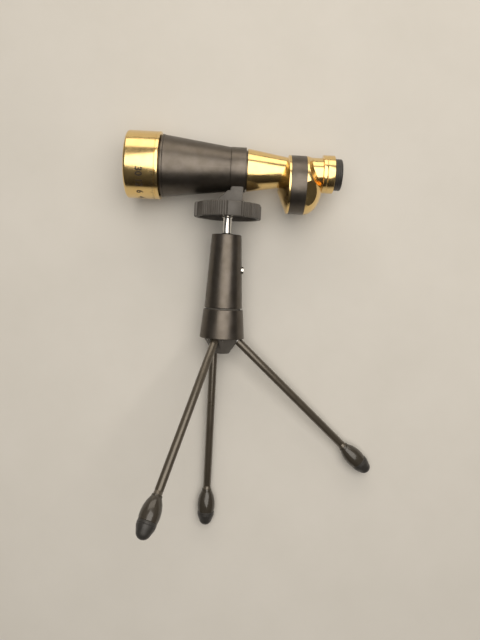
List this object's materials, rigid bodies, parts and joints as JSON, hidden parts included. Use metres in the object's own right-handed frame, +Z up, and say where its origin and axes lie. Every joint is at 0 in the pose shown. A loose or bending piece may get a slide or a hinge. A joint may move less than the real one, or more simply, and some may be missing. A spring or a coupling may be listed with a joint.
{
  "type": "spotting scope",
  "caption": "Pocket spotting scope with an offset prism housing, screwed to a folding mini tripod with a ball head and lock wheel, lying on its side.",
  "frame": {"origin": "middle of the underside of its box, on the surface that it lies on", "axes": "+X along the scope towards the eyepiece, +Y from the feet towards the scope, +Z up from the surface"},
  "size_m": [0.1514, 0.2292, 0.0847],
  "materials": {
    "gold_anodised": "polished gold anodised",
    "black_anodised": "satin black anodised",
    "matte_black_metal": "flat black inside paint",
    "black_paint": "semi gloss black enamel",
    "grey_plastic": "moulded grey-black nylon",
    "ferrule_plastic": "glossy black",
    "rubber": "matt black rubber",
    "polished_steel": "polished",
    "plain_steel": "turned",
    "brass": "turned",
    "nylon": "natural nylon",
    "aluminium": "machined",
    "optical_glass": "coated, clear"
  },
  "bodies": {
    "tripod_base": {"leg_collar": "black_anodised", "leg_hub": "grey_plastic", "core_post": "aluminium", "thrust_washer": "grey_plastic", "disc_springs": "plain_steel", "hub_screw": "plain_steel", "pivot_pin_left": "plain_steel", "pivot_pin_middle": "plain_steel", "pivot_pin_right": "plain_steel"},
    "leg_left": {"leg_rod_left": "black_paint", "foot_ferrule_left": "ferrule_plastic", "foot_tip_left": "rubber"},
    "leg_middle": {"leg_rod_middle": "black_paint", "foot_ferrule_middle": "ferrule_plastic", "foot_tip_middle": "rubber"},
    "leg_right": {"leg_rod_right": "black_paint", "foot_ferrule_right": "ferrule_plastic", "foot_tip_right": "rubber"},
    "clamp_sleeve": {"clamp_sleeve": "black_anodised", "stop_screw": "polished_steel"},
    "ball_seat": {"ball_pad": "nylon"},
    "ball_head": {"ball_stud": "polished_steel"},
    "wheel_nut": {"wheel_insert": "brass"},
    "lock_wheel": {"lock_wheel": "grey_plastic"},
    "scope": {"trim_ring": "black_anodised", "barrel": "black_anodised", "baffle_tube": "matte_black_metal", "mount_collar": "black_anodised", "mount_foot": "grey_plastic", "foot_insert": "brass", "tapered_tube": "gold_anodised", "prism_front_cap": "gold_anodised", "prism_band": "black_anodised", "prism_rear_cap": "gold_anodised", "half_prism": "optical_glass", "roof_prism": "optical_glass", "prism_frame": "aluminium", "frame_screws": "plain_steel", "eyepiece_tube": "matte_black_metal", "eyepiece_ring": "gold_anodised", "field_lens": "optical_glass", "field_stop": "matte_black_metal", "eye_lens": "optical_glass", "eye_retainer": "matte_black_metal"},
    "focus_ring": {"focus_ring": "gold_anodised"},
    "objective_cell": {"objective_cell": "matte_black_metal", "crown_lens": "optical_glass", "flint_lens": "optical_glass", "lens_retainer": "matte_black_metal"},
    "eyecup": {"eyecup": "rubber"}
  },
  "joints": [
    {"name": "leg_right_fold", "type": "hinge", "parent": "tripod_base", "child": "leg_right", "pos_m": [-0.00971, -0.00071, 0.01561], "axis": [0.0905, -0.0412, 0.995], "range_deg": [-47.6, 2.4]},
    {"name": "leg_middle_fold", "type": "hinge", "parent": "tripod_base", "child": "leg_middle", "pos_m": [-0.02229, -0.00047, 0.0098], "axis": [0.8172, 0.0238, -0.5759], "range_deg": [0, 50]},
    {"name": "leg_left_fold", "type": "hinge", "parent": "tripod_base", "child": "leg_left", "pos_m": [-0.02103, -0.00104, 0.02359], "axis": [-0.9077, 0.0173, -0.4192], "range_deg": [-37, 13]},
    {"name": "sleeve_turn", "type": "hinge", "parent": "tripod_base", "child": "clamp_sleeve", "pos_m": [-0.01768, 0.05381, 0.01859], "axis": [0, 0.9991, 0.0413], "range_deg": [0, 90]},
    {"name": "ball_swivel", "type": "hinge", "parent": "tripod_base", "child": "ball_seat", "pos_m": [-0.01768, 0.05381, 0.01859], "axis": [0, 0.9991, 0.0413], "continuous": true},
    {"name": "ball_tilt", "type": "hinge", "parent": "ball_seat", "child": "ball_head", "pos_m": [-0.01768, 0.05381, 0.01859], "axis": [0, 0.0413, -0.9991], "range_deg": [-22, 22]},
    {"name": "wheel_lift", "type": "slide", "parent": "ball_head", "child": "wheel_nut", "axis": [0, -0.9991, -0.0413], "range_m": [0, 0.00254]},
    {"name": "wheel_turn", "type": "hinge", "parent": "wheel_nut", "child": "lock_wheel", "pos_m": [-0.01768, 0.07619, 0.01951], "axis": [0, -0.9991, -0.0413], "range_deg": [0, 720]},
    {"name": "scope_pan", "type": "hinge", "parent": "ball_head", "child": "scope", "pos_m": [-0.01768, 0.07619, 0.01951], "axis": [0, 0.9991, 0.0413], "continuous": true},
    {"name": "focus_turn", "type": "hinge", "parent": "scope", "child": "focus_ring", "pos_m": [-0.07568, 0.09578, 0.02032], "axis": [1, 0, 0], "range_deg": [-150, 150]},
    {"name": "focus_travel", "type": "slide", "parent": "scope", "child": "objective_cell", "axis": [1, 0, 0], "range_m": [-0.002, 0.002]},
    {"name": "eyecup_slide", "type": "slide", "parent": "scope", "child": "eyecup", "axis": [1, 0, 0], "range_m": [0, 0.003]}
  ],
  "couplings": [
    {"joint": "wheel_lift", "follows": "wheel_turn", "m_per_rad": 0.00020212},
    {"joint": "focus_travel", "follows": "focus_turn", "m_per_rad": 0.00076393}
  ]
}
